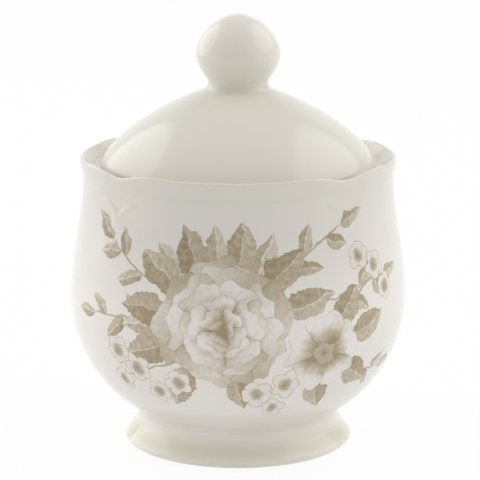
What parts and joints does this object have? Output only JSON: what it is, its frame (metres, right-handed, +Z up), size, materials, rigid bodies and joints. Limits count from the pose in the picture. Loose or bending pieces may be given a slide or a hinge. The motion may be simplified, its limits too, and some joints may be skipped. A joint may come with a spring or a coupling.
{
  "type": "sugar bowl",
  "caption": "Round-bellied porcelain sugar bowl on a pedestal foot, with a dented lip and a lift-off domed lid that has a ball knob and a locating flange.",
  "frame": {"origin": "centre of the foot's underside, on the table", "axes": "+Z up along the bowl's axis towards the knob; -Y is the front, between two of the lip's dents"},
  "size_m": [0.104, 0.104, 0.1351],
  "materials": {
    "body_glaze": "glossy ivory-white glaze on porcelain",
    "foot_glaze": "glossy cream glaze on porcelain, with a bare standing ring",
    "lid_glaze": "glossy cream glaze on porcelain"
  },
  "bodies": {
    "bowl": {"bowl_body": "body_glaze", "foot_ring": "foot_glaze"},
    "lid": {"lid_dome": "lid_glaze", "lid_flange": "lid_glaze", "lid_knob": "lid_glaze"}
  },
  "joints": [
    {"name": "lid_lift", "type": "slide", "parent": "bowl", "child": "lid", "axis": [0, 0, 1], "range_m": [0, 0.08]}
  ]
}
